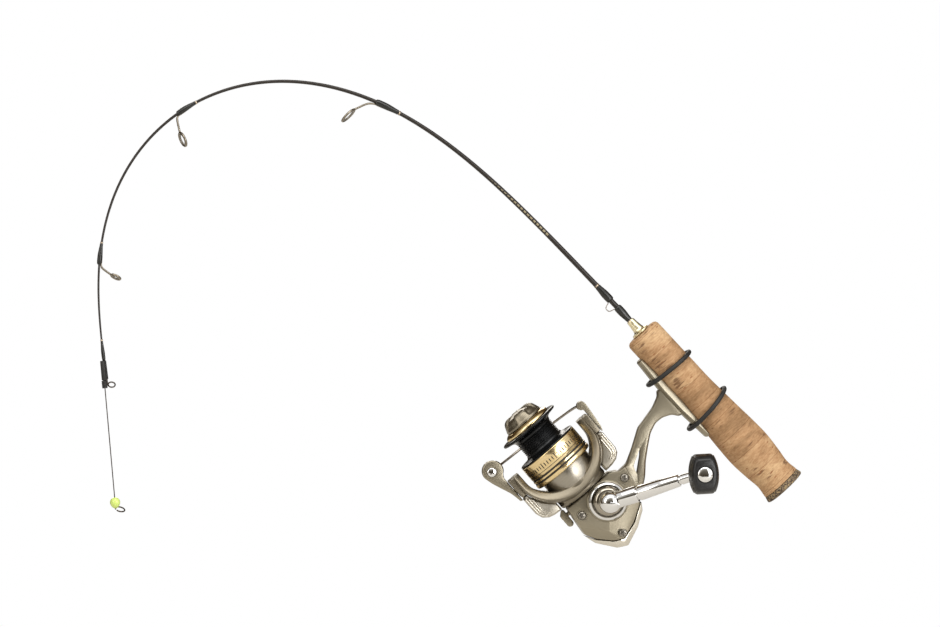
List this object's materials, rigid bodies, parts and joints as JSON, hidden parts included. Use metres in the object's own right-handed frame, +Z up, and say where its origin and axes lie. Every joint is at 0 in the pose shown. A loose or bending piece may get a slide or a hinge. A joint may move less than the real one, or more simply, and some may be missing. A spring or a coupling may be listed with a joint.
{
  "type": "ice fishing rod",
  "caption": "Short ice fishing rod, bent as under load, with cork grip, wire guides, a tip strike indicator and a fixed-spool spinning reel held on by rubber rings.",
  "frame": {"origin": "on the grip's centreline, at the middle of the reel foot's length", "axes": "+X from the tip towards the butt, +Z up, -Y towards the crank side; the rod bends in the XZ plane"},
  "size_m": [0.4057, 0.1113, 0.2691],
  "materials": {
    "cork": "natural ring cork, sanded and sealed",
    "burl_cork": "dark burl cork composite, sanded",
    "graphite": "clear-coated graphite",
    "thread_epoxy": "black thread under clear epoxy",
    "pale_gold": "pale gold anodised, polished",
    "guide_steel": "smoke plated stainless",
    "guide_ceramic": "dark polished ceramic",
    "black_rubber": "smooth black rubber",
    "spring_steel": "drawn wire",
    "chartreuse_bead": "slightly see-through fluorescent bead",
    "titanium_paint": "satin champagne-titanium metallic paint",
    "polished_silver": "bright polished silver plating",
    "chrome": "bright chrome plating",
    "black_anodised": "black anodised, fine turned",
    "gold_anodised": "gold anodised, polished",
    "black_plastic": "smooth black moulded",
    "machined_steel": "machined",
    "brass": "machined",
    "felt": "pressed felt"
  },
  "bodies": {
    "rod_and_reel_body": {"cork_handle": "cork", "butt_cap": "burl_cork", "winding_check": "pale_gold", "rod_blank": "graphite", "hook_keeper": "spring_steel", "keeper_wrap_rear": "thread_epoxy", "keeper_wrap_front": "thread_epoxy", "guide_frame_1": "guide_steel", "guide_frame_2": "guide_steel", "guide_frame_3": "guide_steel", "guide_ring_1": "guide_ceramic", "guide_ring_2": "guide_ceramic", "guide_ring_3": "guide_ceramic", "guide_wrap_1": "thread_epoxy", "guide_wrap_2": "thread_epoxy", "guide_wrap_3": "thread_epoxy", "tip_wrap": "thread_epoxy", "tip_top": "guide_steel", "indicator_sleeve": "black_rubber", "oring_front": "black_rubber", "oring_rear": "black_rubber", "reel_housing": "titanium_paint", "side_cover": "titanium_paint", "rear_cover": "polished_silver", "cover_screw_1": "machined_steel", "cover_screw_2": "machined_steel", "cover_screw_3": "machined_steel", "crank_collar": "chrome", "shaft_cap": "titanium_paint", "gear_bearing_left": "machined_steel", "gear_bearing_right": "machined_steel", "pinion_bearing": "machined_steel"},
    "anti_reverse": {"anti_reverse_lever": "titanium_paint"},
    "crank": {"drive_gear": "brass", "crank_boss": "titanium_paint", "crank_arm": "chrome", "knob_spindle": "chrome"},
    "knob": {"handle_knob": "black_plastic", "knob_cap": "chrome"},
    "rotor_assembly": {"pinion": "brass", "rotor": "titanium_paint", "rotor_nut": "machined_steel", "arm_cover_left": "titanium_paint", "arm_cover_right": "titanium_paint"},
    "bail": {"bail_arm": "titanium_paint", "bail_wire": "chrome", "bail_lever": "titanium_paint", "roller_screw": "chrome"},
    "roller": {"line_roller": "chrome"},
    "oscillation": {"oscillation_gear": "brass"},
    "spool_shaft": {"main_shaft": "machined_steel", "oscillation_slider": "machined_steel"},
    "spool_assembly": {"spool": "black_anodised", "spool_skirt_band": "gold_anodised", "spool_lip_ring": "gold_anodised", "drag_washer": "felt"},
    "drag": {"drag_knob": "titanium_paint"},
    "indicator_carriage": {"indicator_grommet": "black_rubber"},
    "indicator": {"indicator_wire": "spring_steel", "indicator_bead": "chartreuse_bead"}
  },
  "joints": [
    {"name": "anti_reverse_switch", "type": "hinge", "parent": "rod_and_reel_body", "child": "anti_reverse", "pos_m": [-0.05781, 0, -0.06436], "axis": [0.7547, 0, 0.6561], "range_deg": [0, 25]},
    {"name": "crank_spin", "type": "hinge", "parent": "rod_and_reel_body", "child": "crank", "pos_m": [-0.04792, 0, -0.06689], "axis": [0, -1, 0], "continuous": true},
    {"name": "knob_spin", "type": "hinge", "parent": "crank", "child": "knob", "pos_m": [0.00323, -0.04736, -0.04958], "axis": [0, -1, 0], "continuous": true},
    {"name": "rotor_spin", "type": "hinge", "parent": "rod_and_reel_body", "child": "rotor_assembly", "pos_m": [-0.0523, 0, -0.0707], "axis": [-0.6561, 0, 0.7547], "continuous": true},
    {"name": "bail_flip", "type": "hinge", "parent": "rotor_assembly", "child": "bail", "pos_m": [-0.07723, 0, -0.04202], "axis": [0.7547, 0, 0.6561], "range_deg": [0, 110]},
    {"name": "roller_spin", "type": "hinge", "parent": "bail", "child": "roller", "pos_m": [-0.11392, 0, -0.05073], "axis": [0, -1, 0], "continuous": true},
    {"name": "oscillation_spin", "type": "hinge", "parent": "rod_and_reel_body", "child": "oscillation", "pos_m": [-0.04334, 0, -0.07643], "axis": [0, -1, 0], "continuous": true},
    {"name": "spool_travel", "type": "slide", "parent": "rod_and_reel_body", "child": "spool_shaft", "axis": [-0.6561, 0, 0.7547], "range_m": [-0.001, 0.0045]},
    {"name": "spool_spin", "type": "hinge", "parent": "spool_shaft", "child": "spool_assembly", "pos_m": [-0.0523, 0, -0.0707], "axis": [-0.6561, 0, 0.7547], "continuous": true},
    {"name": "drag_turn", "type": "hinge", "parent": "spool_shaft", "child": "drag", "pos_m": [-0.0523, 0, -0.0707], "axis": [-0.6561, 0, 0.7547], "range_deg": [-360, 360]},
    {"name": "indicator_slide", "type": "slide", "parent": "rod_and_reel_body", "child": "indicator_carriage", "axis": [0.0872, 0, -0.9962], "range_m": [0, 0.004]},
    {"name": "indicator_bend", "type": "hinge", "parent": "indicator_carriage", "child": "indicator", "pos_m": [-0.3363, -0.00212, -0.00173], "axis": [0, 1, 0], "range_deg": [-20, 20], "stiffness_Nm_per_rad": 0.002}
  ],
  "couplings": [
    {"joint": "rotor_spin", "follows": "crank_spin", "ratio": 5.2},
    {"joint": "oscillation_spin", "follows": "crank_spin", "ratio": -0.5}
  ]
}
